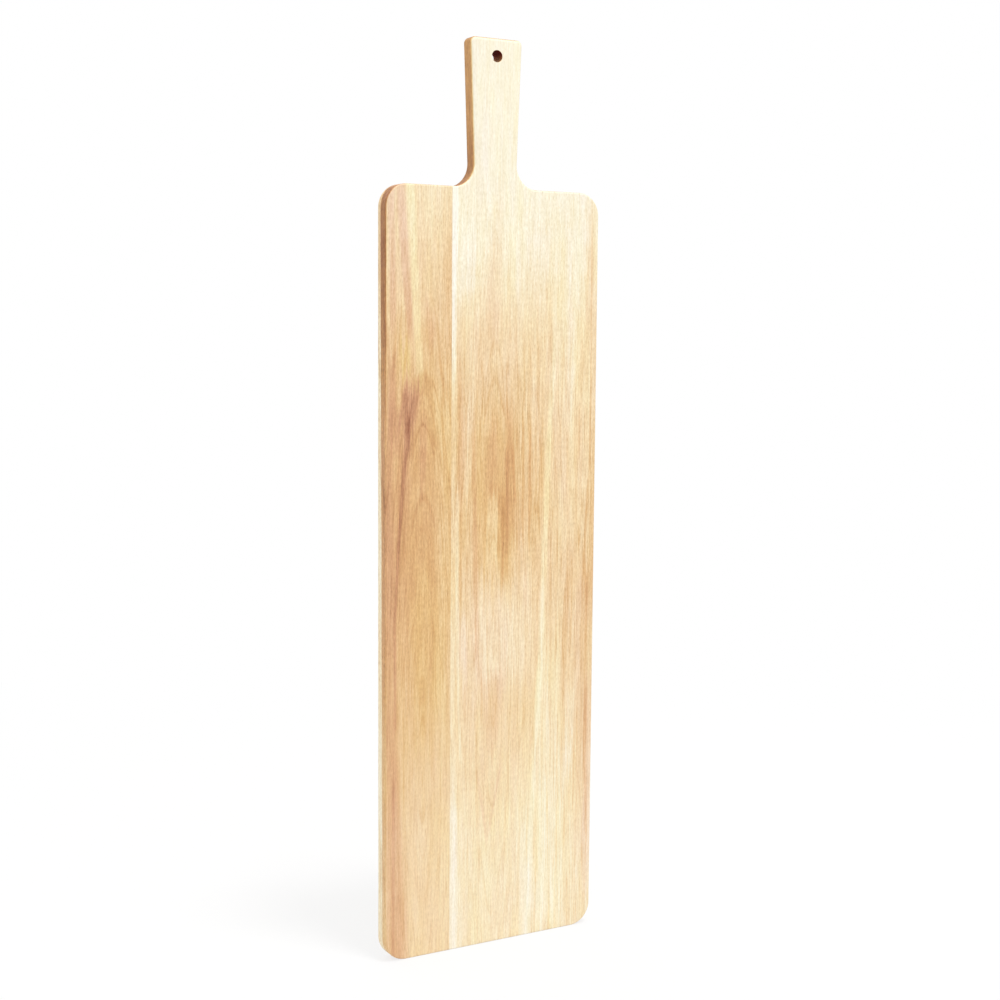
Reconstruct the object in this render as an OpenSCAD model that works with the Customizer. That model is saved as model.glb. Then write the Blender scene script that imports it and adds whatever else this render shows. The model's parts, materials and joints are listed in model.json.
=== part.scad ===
// Paddle serving board. Two hardwood staves are glued edge to edge, then sawn to one
// outline with a handle, rounded over along every edge, and drilled for hanging.
// X runs across the board, Y through its thickness with the front face towards -Y,
// and Z along its length, up from the bottom end.

/* [Blade] */
// Width of the blade
blade_w = 200; // [160:1:260]
// Length of the blade, from the bottom end to the shoulders
blade_l = 640; // [300:5:800]
// Thickness of the board
board_t = 15; // [12:0.5:25]
// Radius of the four corners of the blade, seen from the front
corner_r = 19; // [6:0.5:30]
// Radius of the rounded-over edges of the blade
blade_edge_r = 1.5; // [0.5:0.1:4]

/* [Handle] */
// Length of the handle, from the shoulders to its top end
handle_l = 120; // [80:1:180]
// Width of the handle at its top end, across the corners before they are rounded
handle_top_w = 48; // [36:0.5:64]
// Width of the handle at its root, where its straight sides would meet the shoulders
neck_w = 39; // [28:0.5:52]
// Radius of the fillets between the handle and the shoulders
neck_r = 19; // [8:0.5:30]
// Radius of the two top corners of the handle, seen from the front
handle_corner_r = 4.5; // [4:0.5:12]
// Radius of the rounded-over edges of the handle
handle_edge_r = 3; // [1:0.1:4]

/* [Hanging hole] */
// Diameter of the hole
hole_d = 9.5; // [6:0.5:14]
// Distance from the top end of the handle down to the middle of the hole
hole_inset = 14.5; // [12:0.5:30]
// Width and depth of the bevel round each mouth of the hole
hole_bevel = 0.3; // [0.2:0.1:1.5]

/* [Glue joint] */
// Distance from the foot of the left neck fillet out to the glue
glue_clear = 2; // [1:0.5:25]
// Thickness of the film of glue between the staves
glue_t = 0.15; // [0.1:0.05:0.5]

/* [Hidden] */

// How far a cutting shape runs past the surface that it cuts
overrun = 2;
// Flat steps in each rounded corner of the outline, across each rounded-over edge,
// and round the hanging hole
corner_steps = 12;
edge_steps = 5;
hole_steps = 48;

total_l = blade_l + handle_l;
// The film of glue lies between these two planes, so the whole handle is cut from one stave
glue_left_x = -neck_w / 2 - neck_r - glue_clear;
glue_right_x = glue_left_x + glue_t;

// Corners of the outline, anticlockwise seen from the front. Each has its place in x and z,
// the radius of its arc, and the radius of the rounded-over edge before and after it.
corners = [
    [[blade_w / 2, 0], corner_r, blade_edge_r, blade_edge_r],
    [[blade_w / 2, blade_l], corner_r, blade_edge_r, blade_edge_r],
    [[neck_w / 2, blade_l], neck_r, blade_edge_r, handle_edge_r],
    [[handle_top_w / 2, total_l], handle_corner_r, handle_edge_r, handle_edge_r],
    [[-handle_top_w / 2, total_l], handle_corner_r, handle_edge_r, handle_edge_r],
    [[-neck_w / 2, blade_l], neck_r, handle_edge_r, blade_edge_r],
    [[-blade_w / 2, blade_l], corner_r, blade_edge_r, blade_edge_r],
    [[-blade_w / 2, 0], corner_r, blade_edge_r, blade_edge_r]
];
corner_count = len(corners);

// The heading, in degrees, of the straight side from one place to the next
function heading(from, to) = atan2(to[1] - from[1], to[0] - from[0]);

// The turn between two headings, from -180 to 180: a left turn is an outer corner
function turn_between(first, second) = (second - first + 540) % 360 - 180;

// The point at the given angle on a unit circle
function ray(angle) = [cos(angle), sin(angle)];

// The points along one rounded corner, each with its outward direction and the radius of
// the rounded-over edge there
function corner_points(before, corner, after) =
    let(
        radius = corner[1],
        start = heading(before[0], corner[0]),
        turn = turn_between(start, heading(corner[0], after[0])),
        side = sign(turn),
        run_back = radius * tan(abs(turn) / 2),
        centre = corner[0] - run_back * ray(start) - side * radius * ray(start - 90)
    )
    [
        for (step = [0:corner_steps])
            let(
                share = step / corner_steps,
                outward = ray(start - 90 + turn * share),
                edge_r = corner[2] + (corner[3] - corner[2]) * share
            )
            [centre + side * radius * outward, outward, edge_r]
    ];

outline = [
    for (i = [0:corner_count - 1])
        each corner_points(
            corners[(i + corner_count - 1) % corner_count],
            corners[i],
            corners[(i + 1) % corner_count]
        )
];

// The outline drawn in and set back as its rounded-over edge asks. The angle runs from 0,
// flush with the face, to 90, flush with the side. The front face is -1 and the back is 1.
function ring(angle, face) = [
    for (p = outline)
        let(
            place = p[0] - p[2] * (1 - sin(angle)) * p[1],
            depth = board_t / 2 - p[2] * (1 - cos(angle))
        )
        [place[0], face * depth, place[1]]
];

edge_angles = [for (step = [0:edge_steps]) 90 * step / edge_steps];
rings = [
    for (i = [0:edge_steps]) ring(edge_angles[i], -1),
    for (i = [edge_steps:-1:0]) ring(edge_angles[i], 1)
];
ring_points = len(outline);
last_ring = len(rings) - 1;

// The handle runs from the foot of the right neck fillet to the foot of the left one
arc_points = corner_steps + 1;
handle_first = 2 * arc_points;
handle_last = 6 * arc_points - 1;

// A flat face is one polygon over the blade and a strip across the handle
flat_face = [
    [for (i = [0:handle_first]) i, for (i = [handle_last:ring_points - 1]) i],
    for (i = [0:(handle_last - handle_first - 1) / 2 - 1])
        let(right = handle_first + i, left = handle_last - i)
        [right, right + 1, left - 1, left]
];

// A face turned over keeps its first point
function turned_over(face) = [face[0], for (i = [len(face) - 1:-1:1]) face[i]];

board_faces = [
    for (face = flat_face) turned_over(face),
    for (face = flat_face) [for (i = face) last_ring * ring_points + i],
    for (r = [0:last_ring - 1], i = [0:ring_points - 1])
        let(
            here = r * ring_points + i,
            next = r * ring_points + (i + 1) % ring_points
        )
        each [
            [here, next, next + ring_points],
            [here, next + ring_points, here + ring_points]
        ]
];

// The hanging hole as one turned shape: a straight bore with a bevel at each mouth
module hanging_hole() {
    bore_r = hole_d / 2;
    mouth_r = bore_r + hole_bevel + overrun;
    mouth_y = board_t / 2 + overrun;
    bevel_y = board_t / 2 - hole_bevel;
    translate([0, 0, total_l - hole_inset])
        rotate([90, 0, 0])
            rotate_extrude($fn = hole_steps)
                polygon([
                    [0, -mouth_y],
                    [mouth_r, -mouth_y],
                    [bore_r, -bevel_y],
                    [bore_r, bevel_y],
                    [mouth_r, mouth_y],
                    [0, mouth_y]
                ]);
}

// The whole board, as it is shaped and drilled after the staves are glued
module shaped_board() {
    difference() {
        polyhedron(points = [for (r = rings) each r], faces = board_faces, convexity = 4);
        hanging_hole();
    }
}

// The share of the shaped board that lies between two planes across it
module board_between(left_x, right_x) {
    intersection() {
        shaped_board();
        translate([left_x, -board_t / 2 - overrun, -overrun])
            cube([right_x - left_x, board_t + 2 * overrun, total_l + 2 * overrun]);
    }
}

module narrow_stave() {
    color([0.79, 0.58, 0.36])
        board_between(-blade_w / 2 - overrun, glue_left_x);
}

module glue_line() {
    color([0.66, 0.48, 0.30])
        board_between(glue_left_x, glue_right_x);
}

module handle_stave() {
    color([0.90, 0.78, 0.58])
        board_between(glue_right_x, blade_w / 2 + overrun);
}

narrow_stave();
glue_line();
handle_stave();
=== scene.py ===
import bpy
import bmesh
import json
import math
from mathutils import Matrix, Vector


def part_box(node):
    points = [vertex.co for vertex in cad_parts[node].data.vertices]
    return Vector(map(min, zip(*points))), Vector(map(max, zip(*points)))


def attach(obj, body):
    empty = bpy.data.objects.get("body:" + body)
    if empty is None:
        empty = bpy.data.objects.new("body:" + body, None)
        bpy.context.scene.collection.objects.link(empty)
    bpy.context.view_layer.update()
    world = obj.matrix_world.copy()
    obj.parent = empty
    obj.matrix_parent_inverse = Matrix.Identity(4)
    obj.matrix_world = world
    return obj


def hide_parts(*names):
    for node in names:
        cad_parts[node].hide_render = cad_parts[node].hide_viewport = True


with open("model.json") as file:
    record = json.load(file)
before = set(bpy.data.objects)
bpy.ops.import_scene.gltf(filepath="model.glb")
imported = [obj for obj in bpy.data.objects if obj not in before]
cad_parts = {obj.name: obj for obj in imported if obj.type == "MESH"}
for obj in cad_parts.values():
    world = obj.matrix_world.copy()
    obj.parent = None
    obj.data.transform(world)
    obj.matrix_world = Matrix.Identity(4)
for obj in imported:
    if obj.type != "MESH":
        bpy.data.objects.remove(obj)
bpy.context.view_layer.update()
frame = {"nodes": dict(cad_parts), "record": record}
scene = bpy.context.scene
mm = 0.001
print("frame loaded:", sorted(frame["nodes"]))


# Board outline, in millimetres. What the frame can tell is taken from it.
narrowLow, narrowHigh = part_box("narrow_stave")
handleLow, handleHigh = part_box("handle_stave")
hangingHole = [m for m in frame["record"]["mounts"] if m["name"] == "hanging_hole"][0]
board = {
    "width": (handleHigh.x - narrowLow.x) / mm,
    "length": handleHigh.z / mm,
    "bladeLength": narrowHigh.z / mm,
    "thickness": (handleHigh.y - handleLow.y) / mm,
    "cornerRadius": 19,
    "neckWidth": 39,
    "neckRadius": 19,
    "handleWidth": 48,
    "handleCornerRadius": 4.5,
    "bladeRounding": 1.5,
    "handleRounding": 3,
    "holeRadius": hangingHole["dims"]["r_mm"],
    "holeHeight": hangingHole["pos_m"][2] / mm,
    "holeRounding": 0.3,
    "cornerSteps": 20,
    "roundingSteps": 7,
    "holeSteps": 64,
    "sharpAngle": 50,  # degrees between faces that stay sharp
    "faceWeight": 80,  # how much the large faces keep the shading flat
    "flush": 0.001,  # how near to a glue plane a point lies on it
}
gluePlanes = (narrowHigh.x / mm, handleLow.x / mm)
half = board["thickness"] / 2


def heading(start, end):
    return math.atan2(end[1] - start[1], end[0] - start[0])


def roundCorner(before, corner, after):
    # points along one rounded corner: place, outward direction, radius of the rounded-over edge
    place, radius, roundingBefore, roundingAfter = corner
    start = heading(before, place)
    turn = (heading(place, after) - start + 3 * math.pi) % (2 * math.pi) - math.pi
    side = math.copysign(1, turn)
    along = Vector((math.cos(start), math.sin(start)))
    outward = Vector((math.sin(start), -math.cos(start)))
    runBack = radius * math.tan(abs(turn) / 2)
    centre = Vector(place) - along * runBack - outward * side * radius
    points = []
    for step in range(board["cornerSteps"] + 1):
        share = step / board["cornerSteps"]
        angle = start - math.pi / 2 + turn * share
        outward = Vector((math.cos(angle), math.sin(angle)))
        rounding = roundingBefore + (roundingAfter - roundingBefore) * share
        points.append((centre + outward * side * radius, outward, rounding))
    return points


def boardOutline():
    # anticlockwise from the bottom right corner, seen from the front
    side, neck, top = board["width"] / 2, board["neckWidth"] / 2, board["handleWidth"] / 2
    shoulder, end = board["bladeLength"], board["length"]
    blade, handle = board["bladeRounding"], board["handleRounding"]
    right = [
        ((side, 0), board["cornerRadius"], blade, blade),
        ((side, shoulder), board["cornerRadius"], blade, blade),
        ((neck, shoulder), board["neckRadius"], blade, handle),
        ((top, end), board["handleCornerRadius"], handle, handle),
    ]
    left = [((-x, z), radius, b, a) for (x, z), radius, a, b in reversed(right)]
    corners = right + left
    points = []
    for i, corner in enumerate(corners):
        after = corners[(i + 1) % len(corners)]
        points += roundCorner(corners[i - 1][0], corner, after[0])
    return points


def clipOutline(points, low, high):
    # the part of the outline between two upright planes, which cut only straight edges
    kept = []
    for i, (place, outward, rounding) in enumerate(points):
        following = points[(i + 1) % len(points)][0]
        if low <= place.x <= high:
            kept.append((place, outward, rounding))
        cuts = [x for x in (low, high) if min(place.x, following.x) < x < max(place.x, following.x)]
        for x in sorted(cuts, reverse=following.x < place.x):
            share = (x - place.x) / (following.x - place.x)
            kept.append((place.lerp(following, share), outward, rounding))
    return kept


def roundedRings(bm, points, inward=1):
    # rings from the front face round both edges to the back face
    rings = []
    steps = board["roundingSteps"]
    frontTurns = [(-1, step) for step in range(steps + 1)]
    backTurns = [(1, step) for step in reversed(range(steps + 1))]
    for face, step in frontTurns + backTurns:
        angle = math.pi / 2 * step / steps
        ring = []
        for place, outward, rounding in points:
            spot = place - outward * rounding * (1 - math.sin(angle)) * inward
            depth = face * (half - rounding * (1 - math.cos(angle)))
            ring.append(bm.verts.new(Vector((spot.x, depth, spot.y)) * mm))
        rings.append(ring)
    return rings


def wrapRings(bm, rings, skipped=()):
    count = len(rings[0])
    for first, second in zip(rings, rings[1:]):
        for i in range(count):
            j = (i + 1) % count
            if i not in skipped:
                bm.faces.new((first[i], first[j], second[j], second[i]))


def ringEdges(bm, ring):
    pairs = zip(ring, ring[1:] + ring[:1])
    return [bm.edges.get(pair) or bm.edges.new(pair) for pair in pairs]


def makeStave(name, low, high, drilled=False):
    bm = bmesh.new()
    points = clipOutline(boardOutline(), low, high)
    rings = roundedRings(bm, points)
    count = len(points)
    sawn = []  # the glued faces: flat, with square edges
    for i in range(count):
        ends = (points[i][0].x, points[(i + 1) % count][0].x)
        if any(abs(ends[0] - x) + abs(ends[1] - x) < board["flush"] for x in gluePlanes):
            sawn.append(i)
    wrapRings(bm, rings, sawn)
    for i in sawn:
        j = (i + 1) % count
        bm.faces.new([ring[i] for ring in rings] + [ring[j] for ring in reversed(rings)])
    faceEdges = {-1: ringEdges(bm, rings[0]), 1: ringEdges(bm, rings[-1])}
    if drilled:
        holePoints = []
        for step in range(board["holeSteps"]):
            angle = -2 * math.pi * step / board["holeSteps"]
            outward = Vector((math.cos(angle), math.sin(angle)))
            centre = Vector((0, board["holeHeight"]))
            holePoints.append((centre + outward * board["holeRadius"], outward, board["holeRounding"]))
        holeRings = roundedRings(bm, holePoints, inward=-1)
        wrapRings(bm, holeRings)
        faceEdges[-1] += ringEdges(bm, holeRings[0])
        faceEdges[1] += ringEdges(bm, holeRings[-1])
    for side, edges in faceEdges.items():
        bmesh.ops.triangle_fill(bm, use_beauty=True, edges=edges, normal=(0, side, 0))
    bmesh.ops.recalc_face_normals(bm, faces=bm.faces)
    mesh = bpy.data.meshes.new(name)
    bm.to_mesh(mesh)
    bm.free()
    mesh.polygons.foreach_set("use_smooth", [True] * len(mesh.polygons))
    mesh.set_sharp_from_angle(angle=math.radians(board["sharpAngle"]))
    piece = bpy.data.objects.new(name, mesh)
    scene.collection.objects.link(piece)
    flatten = piece.modifiers.new("flat faces", "WEIGHTED_NORMAL")
    flatten.keep_sharp = True
    flatten.weight = board["faceWeight"]
    return piece


# Shader maths: a wire holds one socket, and sums on wires add Math nodes.
class Wire:
    def __init__(self, tree, socket=None):
        self.tree = tree
        self.socket = socket

    def node(self, kind, settings=None, sockets=None, output=0):
        made = self.tree.nodes.new("ShaderNode" + kind)
        for name, value in (settings or {}).items():
            if name == "stops":
                fillRamp(made.color_ramp, value)
            else:
                setattr(made, name, value)
        for name, value in (sockets or {}).items():
            if isinstance(value, Wire):
                self.tree.links.new(value.socket, made.inputs[name])
            else:
                made.inputs[name].default_value = value
        return Wire(self.tree, made.outputs[output] if made.outputs else None)

    def math(self, operation, *values):
        return self.node("Math", {"operation": operation}, dict(enumerate(values)))

    def __add__(self, other):
        return self.math("ADD", self, other)

    def __sub__(self, other):
        return self.math("SUBTRACT", self, other)

    def __rsub__(self, other):
        return self.math("SUBTRACT", other, self)

    def __mul__(self, other):
        return self.math("MULTIPLY", self, other)

    def __truediv__(self, other):
        return self.math("DIVIDE", self, other)

    def __pow__(self, power):
        return self.math("POWER", self, power)

    def __abs__(self):
        return self.math("ABSOLUTE", self)

    __radd__ = __add__
    __rmul__ = __mul__


def fillRamp(ramp, stops):
    # a ramp starts with two stops, and a stop is a place and a colour or a grey
    while len(ramp.elements) < len(stops):
        ramp.elements.new(1)
    for element, (place, value) in zip(ramp.elements, stops):
        element.position = place
        element.color = value if isinstance(value, tuple) else (value, value, value, 1)


def seen(red, green, blue):
    # a colour as a screen shows it, from 0 to 255, in the linear values that shaders take
    shares = [v / 255 for v in (red, green, blue)]
    return tuple(s / 12.92 if s <= 0.04045 else ((s + 0.055) / 1.055) ** 2.4 for s in shares) + (1,)


def ease(value, low, high):
    settings = {"interpolation_type": "SMOOTHSTEP", "clamp": False}
    return value.node("MapRange", settings, {"Value": value, "From Min": low, "From Max": high})


def slide(value, low, high, start=0, end=1, clamp=True):
    sockets = {"Value": value, "From Min": low, "From Max": high, "To Min": start, "To Max": end}
    return value.node("MapRange", {"clamp": clamp}, sockets)


def between(value, limits):
    return ease(value, limits[0], limits[1])


def noise(place, layer):
    # from about -0.5 to 0.5; stretch is in repeats for each millimetre
    stretched = place.node("VectorMath", {"operation": "MULTIPLY"}, {0: place, 1: layer["stretch"]})
    sockets = {
        "Vector": stretched,
        "Scale": 1,
        "Detail": layer.get("detail", 2),
        "Roughness": layer.get("roughness", 0.5),
    }
    return place.node("TexNoise", {}, sockets) - 0.5


def pores(place, look):
    # short dark vessels: dashes along the grain on the faces, dots on the ends
    stretch = (1 / look["across"], 1 / look["across"], 1 / look["length"])
    stretched = place.node("VectorMath", {"operation": "MULTIPLY"}, {0: place, 1: stretch})
    nearest = place.node("TexVoronoi", {}, {"Vector": stretched, "Scale": 1})
    return ease(nearest, look["size"], look["size"] * look["solid"])


def blend(factor, first, second, kind="MIX"):
    wire = [value for value in (factor, first, second) if isinstance(value, Wire)][0]
    settings = {"data_type": "RGBA", "blend_type": kind}
    return wire.node("Mix", settings, {0: factor, 6: first, 7: second}, output=2)


def millimetres(start):
    metres = start.node("TexCoord", output="Object")
    return start.node("VectorMath", {"operation": "MULTIPLY"}, {0: metres, 1: (1 / mm, 1 / mm, 1 / mm)})


def newMaterial(name):
    material = bpy.data.materials.new(name)
    material.use_nodes = True
    material.node_tree.nodes.clear()
    return material, Wire(material.node_tree)


def finishMaterial(shader):
    shader.node("OutputMaterial", {}, {"Surface": shader})


# The colours that the wood runs through, from sapwood to the darkest heartwood
woodTones = [
    (0.0, seen(254, 250, 234)),
    (0.1, seen(252, 245, 222)),
    (0.2, seen(249, 238, 208)),
    (0.3, seen(247, 229, 190)),
    (0.4, seen(243, 217, 174)),
    (0.5, seen(236, 203, 155)),
    (0.6, seen(228, 187, 133)),
    (0.7, seen(217, 169, 117)),
    (0.8, seen(200, 148, 100)),
    (0.9, seen(175, 122, 80)),
    (0.95, seen(162, 106, 68)),
    (1.0, seen(146, 86, 52)),
]
yellowTint = (1.005, 1.012, 0.84, 1)
roseTint = (0.995, 0.970, 1.22, 1)
# the red-brown darkening in the bore: drill scorch and painted shade
scorchAndShadeTint = (0.42, 0.05, 0.02, 1)

# Grain that both staves share. Stretch is in repeats for each millimetre across, through and along.
grain = {
    "fibres": {"stretch": (0.9, 0.9, 0.05), "roughness": 0.6, "tone": 0.30, "shade": 0.30},
    "grains": {"stretch": (0.8, 0.8, 0.3), "detail": 1, "tone": 0.14, "shade": 0.37},
    "strands": {"stretch": (0.3, 0.3, 0.01), "detail": 3, "roughness": 0.6, "tone": 0.19, "shade": 0},
    "ripple": {"stretch": (0.06, 0.06, 0.14), "tone": 0.06, "shade": 0},
    "rings": {"stretch": (0.2, 1, 0.005), "detail": 4, "roughness": 0.65, "tone": 0.35, "shade": 0},
    "hairlines": {"stretch": (0.16, 0.16, 0.004), "width": 0.03, "tone": 0.10, "shade": 0.035},
    "vessels": {"across": 2.6, "length": 14, "size": 0.17, "solid": 0.4, "tone": 0.12, "shade": 0.08},
    "vesselPatches": {"stretch": (0.03, 0.03, 0.01), "limits": (-0.15, 0.15)},
    "dots": {"across": 1.3, "length": 5, "size": 0.2, "solid": 0.4, "tone": 0.03, "shade": 0.10},
    "wander": {"stretch": (0.02, 0.05, 0.006), "reach": 4},
    "waver": {"stretch": (0.15, 0.15, 0.02), "reach": 2},
    "fray": {"stretch": (0.5, 0.5, 0.012), "detail": 3},
    "clouds": {"stretch": (0.05, 0.05, 0.012), "tone": 0.1},
    "blush": {"stretch": (0.08, 0.08, 0.012), "detail": 3, "roughness": 0.6, "rose": 1.4},
    "streaks": {"wander": 1, "fibres": 3, "fray": 70},  # how far their edges stray, in millimetres
    "lines": {"wander": 0.3, "fibres": 0.6, "fray": 14},
    "core": 0.25,  # the part of a streak's width that has its full tone
    "plainRings": 0.25,  # how much the rings show in plain wood
    "roseMiddle": 0.42,
    "roseGain": 0.5,
    "paleGain": 1.4,
    "sideTurn": (0.7, 0.3),  # how far a surface turns from the front before it is side
    "sideGain": 0.55,
    "endTurn": (0.6, 0.98),  # how far a surface turns up or down before it is end grain
    "endTone": 0.5,
    "endRose": 0.35,
    "endRings": 1.5,
    # rounded edges painted paler: partly wear, partly a painted highlight
    "wornAndHighlitTurns": [(0.2, 0.6), (0.98, 0.8)],  # the turn of a worn edge, from the side and from the face
    "wornAndHighlightTone": -0.03,
    "height": {"fibres": 0.5, "grains": 0.3, "vessels": -1, "dots": -0.4},
    "heightScale": 0.3,  # in millimetres
    "heightShows": 0.25,
    "roughness": {"plain": 0.52, "fibres": 0.2, "vessels": 0.15, "wornAndHighlit": -0.06, "scorchedAndShaded": 0.4},
    "gloss": 0.3,
}

# Places are in millimetres: x from the middle of the board, z up from its bottom end.
# A streak has a width at its top and one at its foot. More tone is darker, more rose is pinker.
narrowWood = {
    "lengthTone": [
        (0, 0.40), (100, 0.41), (150, 0.46), (200, 0.54), (300, 0.635), (380, 0.645), (430, 0.63),
        (480, 0.575), (520, 0.53), (560, 0.44), (600, 0.385), (640, 0.33),
    ],
    "pith": (-66, 150),
    "ringSlope": 0.0766,
    "leanX": 0.35,
    "leanZ": 5,
    "sideTone": [
        (0, 0.56), (100, 0.63), (170, 0.60), (230, 0.69), (300, 0.75), (430, 0.755), (480, 0.83),
        (530, 0.90), (580, 0.935), (640, 0.90),
    ],
    "sideSkin": (-0.2, -0.7),  # how far a surface turns left before it is side
    "sideYellow": 0.45,
    "sapTone": [(0, 0.30), (100, 0.26), (480, 0.28), (570, 0.46), (640, 0.48)],
    "sapBorder": (-1.95, 1.8),  # at the foot and at the top of the blade, from the middle of the side
    "sapWedge": 0.375,
    "sapBlur": 0.5,
    "sapFray": {"stretch": (0.1, 0.1, 0.006), "detail": 3, "reach": 0.5},
    "grainShows": [(0, 0.58), (200, 0.6), (280, 0.9), (480, 0.95), (560, 0.9), (640, 0.85)],
    "plainTop": (580, 480),
    "streaks": [
        {"top": (-97, 470), "foot": (-95, 180), "wide": (14, 16), "fade": 40, "tone": 0.065, "rose": 0.5},
        {"top": (-94, 186), "foot": (-90, -30), "wide": (16, 34), "fade": 40, "tone": 0.19, "rose": 0.7},
        {"top": (-82, 445), "foot": (-86, 330), "wide": (18, 14), "fade": 25, "tone": 0.06, "rose": 0.2},
        {"top": (-76, 476), "foot": (-79, 440), "wide": (26, 14), "fade": 9, "tone": 0.15, "rose": 0.9},
        {"top": (-77, 476), "foot": (-80, 447), "wide": (14, 9), "fade": 10, "tone": 0.06, "rose": 0.5},
        {"top": (-94, 512), "foot": (-94, 440), "wide": (11, 11), "fade": 16, "tone": 0.11, "rose": 0.6},
        {"top": (-88, 650), "foot": (-77, 520), "wide": (12, 9), "fade": 15, "tone": 0.12, "rose": 0.9},
        {"top": (-95, 650), "foot": (-93, 530), "wide": (9, 9), "fade": 15, "tone": 0.11, "rose": 0.9},
        {"top": (-78, 650), "foot": (-68, 478), "wide": (10, 11), "fade": 12, "tone": -0.13, "rose": -0.5},
        {"top": (-82, 510), "foot": (-82, 488), "wide": (16, 16), "fade": 9, "tone": -0.03, "rose": -0.9},
        {"top": (-60, 545), "foot": (-58, 512), "wide": (13, 10), "fade": 12, "tone": 0.07, "rose": 0.5},
        {"top": (-57, 645), "foot": (-57, 598), "wide": (22, 22), "fade": 15, "tone": -0.04, "rose": 0},
        {"top": (-65, 455), "foot": (-67, 395), "wide": (10, 8), "fade": 15, "tone": 0.06, "rose": 0.4},
        {"top": (-47, 480), "foot": (-44, 170), "wide": (32, 22), "fade": 40, "tone": -0.09, "rose": -0.2},
        {"top": (-62, 330), "foot": (-62, 180), "wide": (40, 40), "fade": 40, "tone": 0, "rose": -0.5},
        {"top": (-44, 615), "foot": (-43, 540), "wide": (9, 9), "fade": 25, "tone": 0.09, "rose": 0},
        {"top": (-51, 500), "foot": (-44, 470), "wide": (5, 4), "fade": 12, "tone": 0.07, "rose": 0},
        {"top": (-46, 90), "foot": (-46, -20), "wide": (16, 16), "fade": 20, "tone": -0.05, "rose": 0},
        {"top": (-82, 160), "foot": (-82, 20), "wide": (18, 18), "fade": 25, "tone": 0.04, "rose": 0},
    ],
    "lines": [
        {"top": (-79.5, 455), "foot": (-88, 352), "wide": (7, 4), "fade": 10, "tone": 0.13, "rose": 0.5},
        {"top": (-88, 352), "foot": (-91.5, 290), "wide": (4, 3.5), "fade": 5, "tone": 0.12, "rose": 0.5},
        {"top": (-91.5, 290), "foot": (-91.3, 196), "wide": (3.5, 3.5), "fade": 6, "tone": 0.10, "rose": 0.4},
        {"top": (-92.5, 152), "foot": (-93, -10), "wide": (4, 4), "fade": 10, "tone": 0.075, "rose": 0.4},
        {"top": (-82, 480), "foot": (-88, 442), "wide": (4, 4), "fade": 6, "tone": 0.11, "rose": 0.6},
        {"top": (-88.5, 462), "foot": (-90, 424), "wide": (8, 8), "fade": 8, "tone": 0.08, "rose": 0.4},
    ],
}
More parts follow.
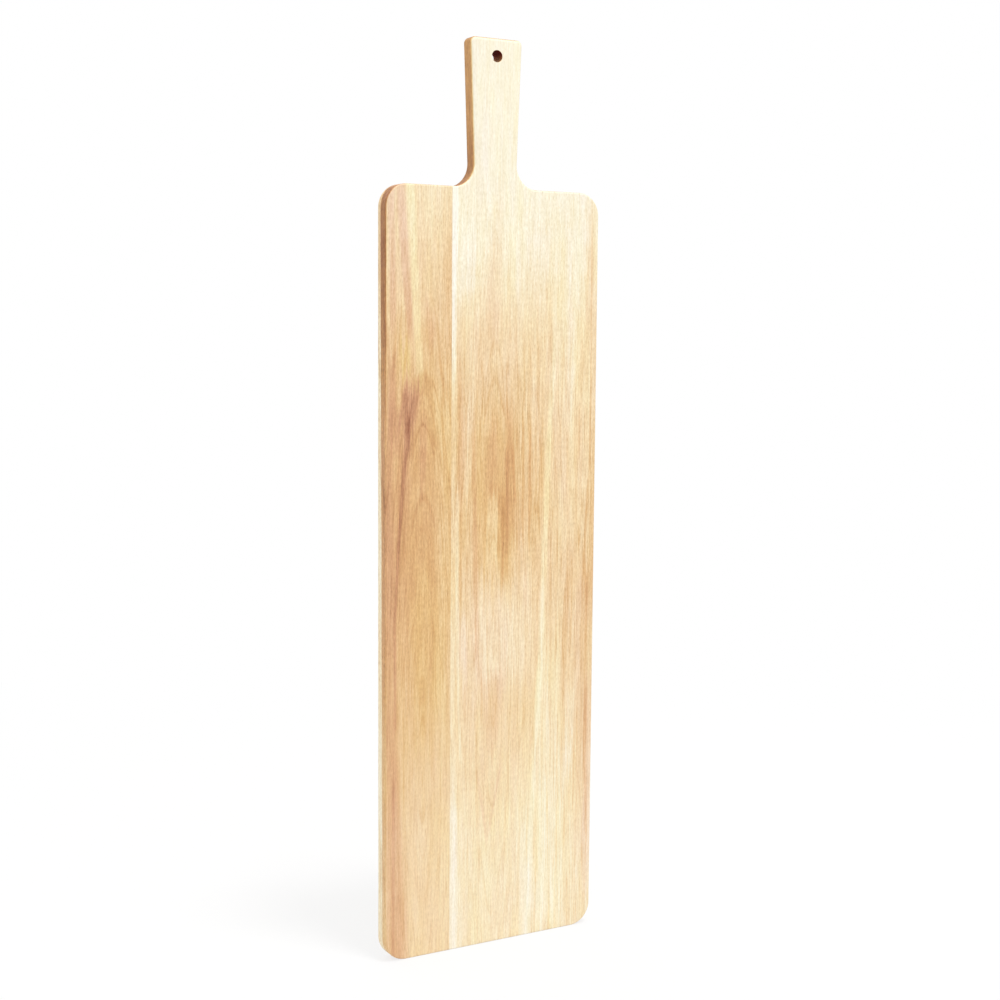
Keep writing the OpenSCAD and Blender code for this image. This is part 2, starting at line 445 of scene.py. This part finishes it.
handleWood = {
    "lengthTone": [
        (0, 0.27), (60, 0.285), (100, 0.31), (150, 0.37), (200, 0.41), (280, 0.41), (340, 0.47), (380, 0.50),
        (430, 0.47), (490, 0.41), (520, 0.375), (560, 0.27), (600, 0.18), (640, 0.125), (700, 0.10),
    ],
    "pith": (0, 265),
    "ringSlope": 0.056,
    "leanX": 0.3,
    "leanZ": 5,
    "heartwood": {
        "tone": [(0, 0.58), (400, 0.59), (560, 0.62), (640, 0.68), (700, 0.73), (760, 0.74)],
        "sideTone": [(0, 0.88), (640, 0.88), (668, 0.89), (685, 0.81), (718, 0.775), (760, 0.78)],
        "sideFoot": (622, 642),
        "sideEnd": (74, 36),
        "shows": [(200, 0.2), (350, 0.45), (520, 0.75), (645, 1)],
        "reach": [(230, 0.03), (350, 0.15), (470, 0.23), (570, 0.3), (620, 0.37), (650, 0.5), (670, 0.7)],
        "fray": {"stretch": (0.22, 0.22, 0.007), "detail": 3, "reach": 16},
        "edge": (1, 0.7),  # shares of the reach
        "layer": (0.25, 2.5),  # below the front face
        "sideLayer": (0.1, 4.5),
        "sideTurn": (0.95, 0.4),  # how far a surface turns from the front before it is side
        "yellow": 0.85,
    },
    # the bore's tone from its foot to its top: scorch and painted shade, darker at the top
    "scorchAndShade": {"low": -4.2, "high": 2.6, "tone": (0.62, 1.0), "edge": (0.25, 0.02)},  # up the bore
    "grainShows": [
        (0, 0.66), (220, 0.7), (320, 0.95), (470, 0.95), (530, 0.85), (620, 0.8), (670, 0.55), (760, 0.5),
    ],
    "plainTop": (600, 470),
    "threads": {
        "stretch": (0.7, 0.7, 0.006),
        "width": 0.045,
        "tone": 0.15,
        "side": (28, 60),
        "top": (270, 170),
    },
    "specks": {
        "across": 2.2,
        "length": 7,
        "size": 0.16,
        "solid": 0.4,
        "tone": 0.14,
        "side": (10, 50),
        "foot": (440, 520),
    },
    "streaks": [
        {"top": (-39, 660), "foot": (-39, 480), "wide": (10, 9), "fade": 30, "tone": -0.22, "rose": 0},
        {"top": (-39, 412), "foot": (-38, 350), "wide": (8, 8), "fade": 20, "tone": -0.11, "rose": 0},
        {"top": (-39, 350), "foot": (-38, 120), "wide": (9, 10), "fade": 20, "tone": -0.08, "rose": 0},
        {"top": (-38, 130), "foot": (-37, -20), "wide": (12, 16), "fade": 20, "tone": -0.14, "rose": 0.2},
        {"top": (-29, 290), "foot": (-28, 235), "wide": (12, 12), "fade": 15, "tone": -0.05, "rose": 0.4},
        {"top": (-32, 490), "foot": (-32, 380), "wide": (8, 8), "fade": 20, "tone": 0.13, "rose": 0.3},
        {"top": (-20, 518), "foot": (-25, 395), "wide": (10, 7), "fade": 15, "tone": -0.07, "rose": 0},
        {"top": (-28, 620), "foot": (-26, 550), "wide": (22, 26), "fade": 25, "tone": -0.07, "rose": 0},
        {"top": (-20, 450), "foot": (-15, 240), "wide": (6, 6), "fade": 25, "tone": 0.08, "rose": 0.3},
        {"top": (0, 466), "foot": (0, 300), "wide": (60, 60), "fade": 45, "tone": 0.10, "rose": -0.3},
        {"top": (2, 640), "foot": (-1, 516), "wide": (17, 24), "fade": 18, "tone": 0.085, "rose": 0.2},
        {"top": (-1, 448), "foot": (-3, 405), "wide": (12, 16), "fade": 12, "tone": 0.06, "rose": 0.2},
        {"top": (13, 465), "foot": (17, 350), "wide": (9, 20), "fade": 14, "tone": 0.11, "rose": 0.2},
        {"top": (8, 396), "foot": (11, 316), "wide": (9, 12), "fade": 20, "tone": 0.05, "rose": 0},
        {"top": (-11, 440), "foot": (-11, 400), "wide": (8, 8), "fade": 12, "tone": 0.03, "rose": 0},
        {
            "top": (-1, 388), "foot": (-2, 328), "wide": (11, 13),
            "fade": 8, "tone": -0.09, "rose": 0, "core": 0.7,
        },
        {"top": (42, 428), "foot": (42, 388), "wide": (18, 18), "fade": 12, "tone": 0.035, "rose": 0},
        {"top": (32, 440), "foot": (30, 350), "wide": (16, 18), "fade": 20, "tone": 0.05, "rose": 0},
        {"top": (8, 312), "foot": (8, 224), "wide": (76, 90), "fade": 20, "tone": -0.08, "rose": 0.3},
        {
            "top": (-1, 236), "foot": (-1, 164), "wide": (34, 8),
            "fade": 9, "tone": 0.075, "rose": 0.3, "core": 0.5,
        },
        {"top": (56, 500), "foot": (45, 205), "wide": (7, 11), "fade": 40, "tone": -0.12, "rose": -0.3},
        {"top": (45, 230), "foot": (35, -20), "wide": (8, 8), "fade": 30, "tone": -0.12, "rose": -0.15},
        {"top": (57, 248), "foot": (52, 20), "wide": (32, 46), "fade": 25, "tone": -0.12, "rose": -0.05},
        {"top": (78, 215), "foot": (76, 140), "wide": (18, 18), "fade": 20, "tone": -0.13, "rose": 0.1},
        {"top": (66, 60), "foot": (66, 0), "wide": (24, 24), "fade": 20, "tone": -0.06, "rose": 0},
        {"top": (33, 100), "foot": (33, -20), "wide": (12, 12), "fade": 20, "tone": -0.06, "rose": 0},
        {"top": (70, 540), "foot": (70, 420), "wide": (40, 34), "fade": 40, "tone": -0.11, "rose": 0},
        {"top": (70, 415), "foot": (70, 340), "wide": (50, 50), "fade": 22, "tone": -0.065, "rose": 0},
        {"top": (68, 165), "foot": (66, 90), "wide": (16, 16), "fade": 20, "tone": -0.075, "rose": 0.1},
        {"top": (76, 610), "foot": (76, 550), "wide": (24, 24), "fade": 25, "tone": -0.06, "rose": 0},
        {"top": (93, 650), "foot": (94, 580), "wide": (20, 16), "fade": 25, "tone": 0.12, "rose": 0},
        {"top": (92, 590), "foot": (93, 520), "wide": (18, 18), "fade": 20, "tone": 0.09, "rose": 0},
        {"top": (92, 490), "foot": (92, 330), "wide": (26, 22), "fade": 25, "tone": -0.08, "rose": 0},
        {"top": (88, 315), "foot": (90, 60), "wide": (20, 18), "fade": 40, "tone": 0.04, "rose": 0.3},
        {"top": (91, 314), "foot": (92, 240), "wide": (22, 22), "fade": 22, "tone": 0.04, "rose": 0},
        {"top": (97, 400), "foot": (97, 280), "wide": (10, 10), "fade": 25, "tone": 0.08, "rose": 0},
        {"top": (96, 220), "foot": (96, 20), "wide": (12, 12), "fade": 25, "tone": 0.04, "rose": 0.5},
        {"top": (50, 34), "foot": (50, -10), "wide": (36, 36), "fade": 12, "tone": -0.055, "rose": 0},
        {"top": (42, 115), "foot": (42, 50), "wide": (14, 14), "fade": 15, "tone": 0.045, "rose": 0},
        {"top": (73, 310), "foot": (69, 220), "wide": (8, 8), "fade": 25, "tone": 0.11, "rose": 0},
        {"top": (72, 205), "foot": (88, 125), "wide": (3, 3), "fade": 20, "tone": 0.05, "rose": 0},
        {"top": (18.5, 715), "foot": (15, 660), "wide": (4, 5), "fade": 15, "tone": 0.08, "rose": 0},
    ],
    "lines": [
        {"top": (-35, 392), "foot": (-33.5, 255), "wide": (5, 5), "fade": 12, "tone": -0.12, "rose": 0},
        {"top": (-33.5, 255), "foot": (-30.5, 165), "wide": (5, 4), "fade": 10, "tone": -0.15, "rose": 0},
        {"top": (13, 428), "foot": (12.5, 322), "wide": (4, 4), "fade": 14, "tone": 0.08, "rose": 0},
        {"top": (8.5, 384), "foot": (9, 306), "wide": (6, 3), "fade": 16, "tone": 0.12, "rose": 0},
        {"top": (5, 392), "foot": (5.5, 330), "wide": (4, 3), "fade": 14, "tone": 0.07, "rose": 0},
        {"top": (17.5, 428), "foot": (20.5, 380), "wide": (4, 4), "fade": 8, "tone": 0.11, "rose": 0},
        {"top": (-1, 398), "foot": (-1, 387), "wide": (12, 14), "fade": 4, "tone": 0.08, "rose": 0},
        {"top": (27.8, 450), "foot": (28, 345), "wide": (3, 3), "fade": 10, "tone": 0.08, "rose": 0},
        {"top": (34.7, 440), "foot": (34.3, 338), "wide": (3, 3), "fade": 8, "tone": 0.11, "rose": 0},
        {"top": (46.5, 430), "foot": (45.5, 385), "wide": (6, 6), "fade": 10, "tone": 0.05, "rose": 0},
        {"top": (43.2, 105), "foot": (43.5, 5), "wide": (5, 5), "fade": 12, "tone": 0.06, "rose": 0},
        {"top": (-17, 280), "foot": (-16.5, 250), "wide": (3, 3), "fade": 8, "tone": 0.08, "rose": 0},
        {"top": (-37.3, 338), "foot": (-37, 295), "wide": (3, 3), "fade": 8, "tone": 0.10, "rose": 0},
        {"top": (-31.5, 372), "foot": (-31, 298), "wide": (5, 5), "fade": 8, "tone": 0.07, "rose": 0},
        {"top": (-11, 232), "foot": (-11, 196), "wide": (4, 4), "fade": 8, "tone": 0.07, "rose": 0},
        {"top": (-27, 226), "foot": (-26.5, 198), "wide": (4, 4), "fade": 8, "tone": 0.08, "rose": 0},
        {"top": (-15, 154), "foot": (-5, 92), "wide": (4, 4), "fade": 9, "tone": 0.06, "rose": 0.3},
        {"top": (8, 154), "foot": (-4, 92), "wide": (4, 4), "fade": 9, "tone": 0.06, "rose": 0.3},
        {"top": (-4, 128), "foot": (-5, 90), "wide": (16, 5), "fade": 10, "tone": 0.04, "rose": 0.2},
        {"top": (-5, 100), "foot": (-6, 56), "wide": (22, 4), "fade": 9, "tone": -0.03, "rose": 0},
        {"top": (93.5, 615), "foot": (94.3, 405), "wide": (3, 3), "fade": 15, "tone": 0.10, "rose": 0},
        {"top": (92.5, 395), "foot": (90, 330), "wide": (3, 4), "fade": 8, "tone": 0.11, "rose": 0},
        {"top": (90, 330), "foot": (92.8, 290), "wide": (4, 4), "fade": 5, "tone": 0.11, "rose": 0},
        {"top": (92.8, 290), "foot": (91.7, 225), "wide": (4, 4), "fade": 5, "tone": 0.08, "rose": 0},
        {"top": (91.7, 225), "foot": (92.5, 160), "wide": (4, 4), "fade": 5, "tone": 0.09, "rose": 0},
        {"top": (92.5, 160), "foot": (96, 80), "wide": (4, 4), "fade": 8, "tone": 0.08, "rose": 0},
        {"top": (88.8, 305), "foot": (88.2, 150), "wide": (3, 3), "fade": 15, "tone": 0.07, "rose": 0},
        {"top": (78.5, 335), "foot": (76.5, 250), "wide": (3.5, 3.5), "fade": 12, "tone": 0.09, "rose": 0},
        {"top": (83, 462), "foot": (83.2, 415), "wide": (2.5, 2.5), "fade": 8, "tone": 0.10, "rose": 0},
        {"top": (84.3, 362), "foot": (83.8, 330), "wide": (2.5, 2.5), "fade": 8, "tone": 0.10, "rose": 0},
        {"top": (76.5, 130), "foot": (78.5, 102), "wide": (3, 3), "fade": 8, "tone": 0.09, "rose": 0},
    ],
}


def streakMask(x, z, ragged, streak):
    # one streak of figure, from its top to its foot, with frayed ends
    xTop, zTop = streak["top"]
    xFoot, zFoot = streak["foot"]
    reachTop, reach = [wide / 2 for wide in streak["wide"]]
    fade = streak["fade"]
    middle = slide(z, zFoot, zTop, xFoot, xTop, clamp=False)
    if reachTop != reach:
        narrowest = min(reachTop, reach)
        reach = slide(z, zFoot, zTop, reach, reachTop, clamp=False)
        reach = reach.math("MAXIMUM", reach, narrowest)
    across = ease(abs(x - middle), reach, reach * streak.get("core", grain["core"]))
    return across * ease(ragged, zFoot - fade, zFoot + fade) * ease(ragged, zTop + fade, zTop - fade)


def toneAlong(z, stops):
    shares = [(height / board["length"], tone) for height, tone in stops]
    return z.node("ValToRGB", {"stops": shares}, {0: z / board["length"]})


def narrowEdge(tone, rose, spot):
    # the left side: dark heartwood in front, a wedge of sapwood behind it
    look = narrowWood
    x, y, z = spot["x"], spot["y"], spot["z"]
    skin = between(spot["normalX"], look["sideSkin"])
    tone = tone + skin * (toneAlong(z, look["sideTone"]) - tone)
    rose = rose - skin * look["sideYellow"]
    low, high = look["sapBorder"]
    border = slide(z, 0, board["bladeLength"]) * (high - low) + low
    fromSide = x + board["width"] / 2
    fray = noise(spot["place"], look["sapFray"]) * look["sapFray"]["reach"]
    behind = y - border - fromSide * (1 + fray) * look["sapWedge"]
    sapwood = ease(behind, -look["sapBlur"], look["sapBlur"])
    tone = tone + sapwood * (toneAlong(z, look["sapTone"]) - tone)
    return tone, rose * (1 - sapwood), 0


def handleDepth(tone, rose, spot):
    # dark threads low on the right, dark specks high on the right
    look = handleWood
    place, x, y, z = spot["place"], spot["x"], spot["y"], spot["z"]
    threads, specks = look["threads"], look["specks"]
    dark = ease(abs(noise(place, threads)), threads["width"], 0)
    dark = dark * between(x, threads["side"]) * between(z, threads["top"])
    dots = pores(place, specks) * between(x, specks["side"]) * between(z, specks["foot"])
    tone = tone + dark * threads["tone"] + dots * specks["tone"]

    # under the pale front a tongue of heartwood runs up the back and fills the handle
    heart = look["heartwood"]
    frayed = abs(x + noise(place, heart["fray"]) * heart["fray"]["reach"])
    reach = toneAlong(z, heart["reach"]) * (board["width"] / 2)
    brown = between(frayed / reach, heart["edge"]) * between(y + half, heart["layer"])
    brown = brown * toneAlong(z, heart["shows"])
    tone = tone + brown * (toneAlong(z, heart["tone"]) - tone)
    neck = between(z, heart["sideFoot"]) * between(frayed, heart["sideEnd"])
    side = between(abs(spot["normalY"]), heart["sideTurn"]) * between(y + half, heart["sideLayer"])
    tone = tone + side * neck * (toneAlong(z, heart["sideTone"]) - tone)

    # the bore is painted dark red-brown, partly as scorch from the drill and partly as painted shade: darkest
    # at its top, paler at its foot where light falls on the lower wall
    above = z - board["holeHeight"]
    fromHole = (x * x + above * above) ** 0.5
    scorchAndShade = look["scorchAndShade"]
    bore = between(fromHole - board["holeRadius"], scorchAndShade["edge"])
    burntAndShaded = slide(above, scorchAndShade["low"], scorchAndShade["high"])
    boreTone = burntAndShaded * (scorchAndShade["tone"][1] - scorchAndShade["tone"][0]) + scorchAndShade["tone"][0]
    tone = tone + bore * (boreTone - tone)
    return tone, rose - brown * heart["yellow"], bore * burntAndShaded


def woodMaterial(name, look, refine):
    material, start = newMaterial(name)
    place = millimetres(start)
    x, y, z = [start.node("SeparateXYZ", {}, {0: place}, output=i) for i in range(3)]
    normal = start.node("NewGeometry", output="Normal")
    normalX, normalY, normalZ = [start.node("SeparateXYZ", {}, {0: normal}, output=i) for i in range(3)]
    spot = {"place": place, "x": x, "y": y, "z": z, "normalX": normalX, "normalY": normalY}
    layers = {kind: noise(place, grain[kind]) for kind in ("fibres", "grains", "strands", "ripple")}

    # the grain wanders a little, and the figure leans through the thickness
    depth = y + half
    wander = noise(place, grain["wander"]) * grain["wander"]["reach"]
    wander = wander + noise(place, grain["waver"]) * grain["waver"]["reach"]
    leaningX = x + depth * look["leanX"]
    leaningZ = z + depth * look["leanZ"]
    fray = noise(place, grain["fray"])

    # tone along the length, then broad streaks and crisp lines
    tone = toneAlong(z, look["lengthTone"]) + noise(place, grain["clouds"]) * grain["clouds"]["tone"]
    rose = noise(place, grain["blush"]) * grain["blush"]["rose"]
    for kind in ("streaks", "lines"):
        stray = grain[kind]
        figureX = leaningX + wander * stray["wander"] + layers["fibres"] * stray["fibres"]
        ragged = leaningZ + fray * stray["fray"]
        for streak in look[kind]:
            mask = streakMask(figureX, leaningZ, ragged, streak)
            if streak["tone"]:
                tone = tone + mask * streak["tone"]
            if streak["rose"]:
                rose = rose + mask * streak["rose"]
    onSide = between(abs(normalY), grain["sideTurn"])
    endGrain = between(abs(normalZ), grain["endTurn"])
    tone, rose, scorchedAndShaded = refine(tone, rose, spot)

    # growth rings round a pith that leans away from the front face
    pithX, pithZ = look["pith"]
    sideways = x - pithX + wander
    inward = depth - (z - pithZ) * look["ringSlope"]
    radius = (sideways * sideways + inward * inward) ** 0.5
    ringPlace = start.node("CombineXYZ", {}, {0: radius, 1: 0.0, 2: z})
    figured = grain["plainRings"] + (1 - grain["plainRings"]) * between(z, look["plainTop"])
    figured = figured + endGrain * grain["endRings"]
    layers["rings"] = noise(ringPlace, grain["rings"]) * figured
    hairline = noise(ringPlace, grain["hairlines"])
    layers["hairlines"] = ease(abs(hairline), grain["hairlines"]["width"], 0) * figured
    patches = between(noise(place, grain["vesselPatches"]), grain["vesselPatches"]["limits"])
    layers["vessels"] = pores(place, grain["vessels"]) * patches
    layers["dots"] = pores(place, grain["dots"])

    # the grain shows more on pale wood, end grain drinks more oil, rounded edges are painted paler, partly as
    # wear and partly as a painted highlight
    texture = 0
    shade = 0
    for kind, layer in layers.items():
        texture = texture + layer * grain[kind]["tone"]
        shade = shade + layer * grain[kind]["shade"]
    shows = toneAlong(z, look["grainShows"]) + onSide * (1 - endGrain) * grain["sideGain"]
    tone = tone + texture * shows * (grain["paleGain"] - tone)
    shade = shade * shows
    fromSide, fromFace = grain["wornAndHighlitTurns"]
    wornAndHighlit = between(abs(normalY), fromSide) * between(abs(normalY), fromFace)
    tone = tone + endGrain * grain["endTone"] * (1 - tone) + wornAndHighlit * grain["wornAndHighlightTone"]

    colour = start.node("ValToRGB", {"stops": woodTones}, {0: tone})
    rose = (rose + endGrain * grain["endRose"]) * grain["roseGain"] + grain["roseMiddle"]
    colour = blend(1.0, colour, blend(rose, yellowTint, roseTint), "MULTIPLY")
    colour = blend(1.0, colour, 1 - shade, "MULTIPLY")
    # scorch and painted shade multiplied into the bore
    colour = blend(scorchedAndShaded, colour, scorchAndShadeTint, "MULTIPLY")
    height = 0
    for kind, share in grain["height"].items():
        height = height + layers[kind] * share
    bumpSockets = {
        "Strength": grain["heightShows"],
        "Distance": grain["heightScale"] * mm,
        "Height": height,
    }
    rough = grain["roughness"]
    roughness = rough["plain"] + layers["fibres"] * rough["fibres"] + layers["vessels"] * rough["vessels"]
    sockets = {
        "Base Color": colour,
        "Roughness": roughness + wornAndHighlit * rough["wornAndHighlit"] + scorchedAndShaded * rough["scorchedAndShaded"],
        "Normal": start.node("Bump", {}, bumpSockets),
        "Specular IOR Level": grain["gloss"],
    }
    finishMaterial(start.node("BsdfPrincipled", {}, sockets))
    return material


glueFilm = {
    "patches": {"stretch": (0.3, 0.3, 0.05), "detail": 3},
    "pale": seen(232, 199, 152),
    "dark": seen(214, 174, 124),
    "roughness": (0.42, 0.2),  # plain, and what the patches add
    "gloss": 0.4,
}


def glueMaterial(name):
    material, start = newMaterial(name)
    patches = noise(millimetres(start), glueFilm["patches"])
    plain, added = glueFilm["roughness"]
    sockets = {
        "Base Color": blend(patches + 0.5, glueFilm["pale"], glueFilm["dark"]),
        "Roughness": plain + patches * added,
        "Specular IOR Level": glueFilm["gloss"],
    }
    finishMaterial(start.node("BsdfPrincipled", {}, sockets))
    return material


# The three pieces, each in the place of its CAD node
narrowStave = makeStave("narrowStave", -board["width"], gluePlanes[0])
glueLine = makeStave("glueLine", gluePlanes[0], gluePlanes[1])
handleStave = makeStave("handleStave", gluePlanes[1], board["width"], drilled=True)
print("staves shaped")

narrowStave.data.materials.append(woodMaterial("narrowStaveWood", narrowWood, narrowEdge))
glueLine.data.materials.append(glueMaterial("hardGlue"))
handleStave.data.materials.append(woodMaterial("handleStaveWood", handleWood, handleDepth))
for piece, node, slot in (
    (narrowStave, "narrow_stave", "narrow_stave_wood"),
    (glueLine, "glue_line", "wood_glue"),
    (handleStave, "handle_stave", "handle_stave_wood"),
):
    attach(piece, "root")
    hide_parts(node)
print("wood and glue on the pieces")


# Camera, fitted to the photograph's view
view = {
    "place": (-645.89, -1171.87, 526.96),  # in millimetres
    "yaw": 29.2354,  # turns are in degrees
    "pitch": -6.1687,
    "roll": 0.4507,
    "focal": 1601.17,  # in pixels of a picture 1000 wide
    "picture": 1000,
    "sensor": 36,
}


def makeCamera():
    yaw, pitch, roll = [math.radians(view[turn]) for turn in ("yaw", "pitch", "roll")]
    ahead = Vector((
        math.sin(yaw) * math.cos(pitch),
        math.cos(yaw) * math.cos(pitch),
        math.sin(pitch),
    ))
    level = Vector((math.cos(yaw), -math.sin(yaw), 0))
    upright = level.cross(ahead)
    right = level * math.cos(roll) + upright * math.sin(roll)
    up = upright * math.cos(roll) - level * math.sin(roll)
    data = bpy.data.cameras.new("camera")
    data.sensor_width = view["sensor"]
    data.lens = view["focal"] * view["sensor"] / view["picture"]
    camera = bpy.data.objects.new("camera", data)
    scene.collection.objects.link(camera)
    turned = Matrix((right, up, -ahead)).transposed().to_4x4()
    camera.matrix_world = Matrix.Translation(Vector(view["place"]) * mm) @ turned
    scene.camera = camera


# Floor and light: a white studio with one broad soft lamp, high in front and a little to the right
studio = {
    "white": (1, 1, 1, 1),
    "fill": 0.83,
    "fillColour": (0.985, 0.99, 1.0, 1),
    "lampPlace": (0.64, -1.97, 7.73),
    "lampTarget": (0, 0, 0.3),
    "lampSize": 1.4,
    "lampPower": 275,
    "lampColour": (1.0, 0.985, 0.96),
    "floorSize": 12,
    "floorBounce": 0.8,
    "floorShade": 0.18,
    "floorLift": 0.786,
    "whiteFrom": (0.5, 1.2),  # the floor fades to white between these distances from the board
}


def backgroundRays(start):
    kinds = ("Camera", "Glossy", "Transmission")
    camera, glossy, transmission = [start.node("LightPath", output=f"Is {kind} Ray") for kind in kinds]
    return camera + glossy + transmission


def makeStudio():
    world = bpy.data.worlds.new("studio")
    scene.world = world
    world.use_nodes = True
    world.node_tree.nodes.clear()
    start = Wire(world.node_tree)
    shown = backgroundRays(start)
    fill = start.node("Background", {}, {"Color": studio["fillColour"], "Strength": studio["fill"]})
    white = start.node("Background", {}, {"Color": studio["white"], "Strength": 1.0})
    both = start.node("MixShader", {}, {0: shown, 1: fill, 2: white})
    start.node("OutputWorld", {}, {"Surface": both})

    lamp = bpy.data.lights.new("softLamp", "AREA")
    lamp.shape = "DISK"
    lamp.size = studio["lampSize"]
    lamp.energy = studio["lampPower"]
    lamp.color = studio["lampColour"]
    lampObject = bpy.data.objects.new("softLamp", lamp)
    lampObject.location = studio["lampPlace"]
    aim = Vector(studio["lampTarget"]) - Vector(studio["lampPlace"])
    lampObject.rotation_euler = aim.to_track_quat("-Z", "Y").to_euler()
    scene.collection.objects.link(lampObject)

    bm = bmesh.new()
    bmesh.ops.create_grid(bm, x_segments=1, y_segments=1, size=studio["floorSize"])
    mesh = bpy.data.meshes.new("floor")
    bm.to_mesh(mesh)
    bm.free()
    floor = bpy.data.objects.new("floor", mesh)
    scene.collection.objects.link(floor)
    material, start = newMaterial("paleFloor")
    shown = backgroundRays(start)
    bounce = start.node("BsdfDiffuse", {}, {"Color": (studio["floorBounce"],) * 3 + (1,)})
    shade = start.node("BsdfDiffuse", {}, {"Color": (studio["floorShade"],) * 3 + (1,)})
    lift = start.node("Emission", {}, {"Color": studio["white"], "Strength": studio["floorLift"]})
    lifted = start.node("AddShader", {}, {0: shade, 1: lift})
    white = start.node("Emission", {}, {"Color": studio["white"], "Strength": 1.0})
    place = start.node("TexCoord", output="Object")
    distance = start.node("VectorMath", {"operation": "LENGTH"}, {0: place}, output=1)
    faded = between(distance, studio["whiteFrom"])
    seenFloor = start.node("MixShader", {}, {0: faded, 1: lifted, 2: white})
    finishMaterial(start.node("MixShader", {}, {0: shown, 1: bounce, 2: seenFloor}))
    floor.data.materials.append(material)


makeCamera()
makeStudio()
scene.view_settings.view_transform = "Standard"
print("camera, floor and light set")
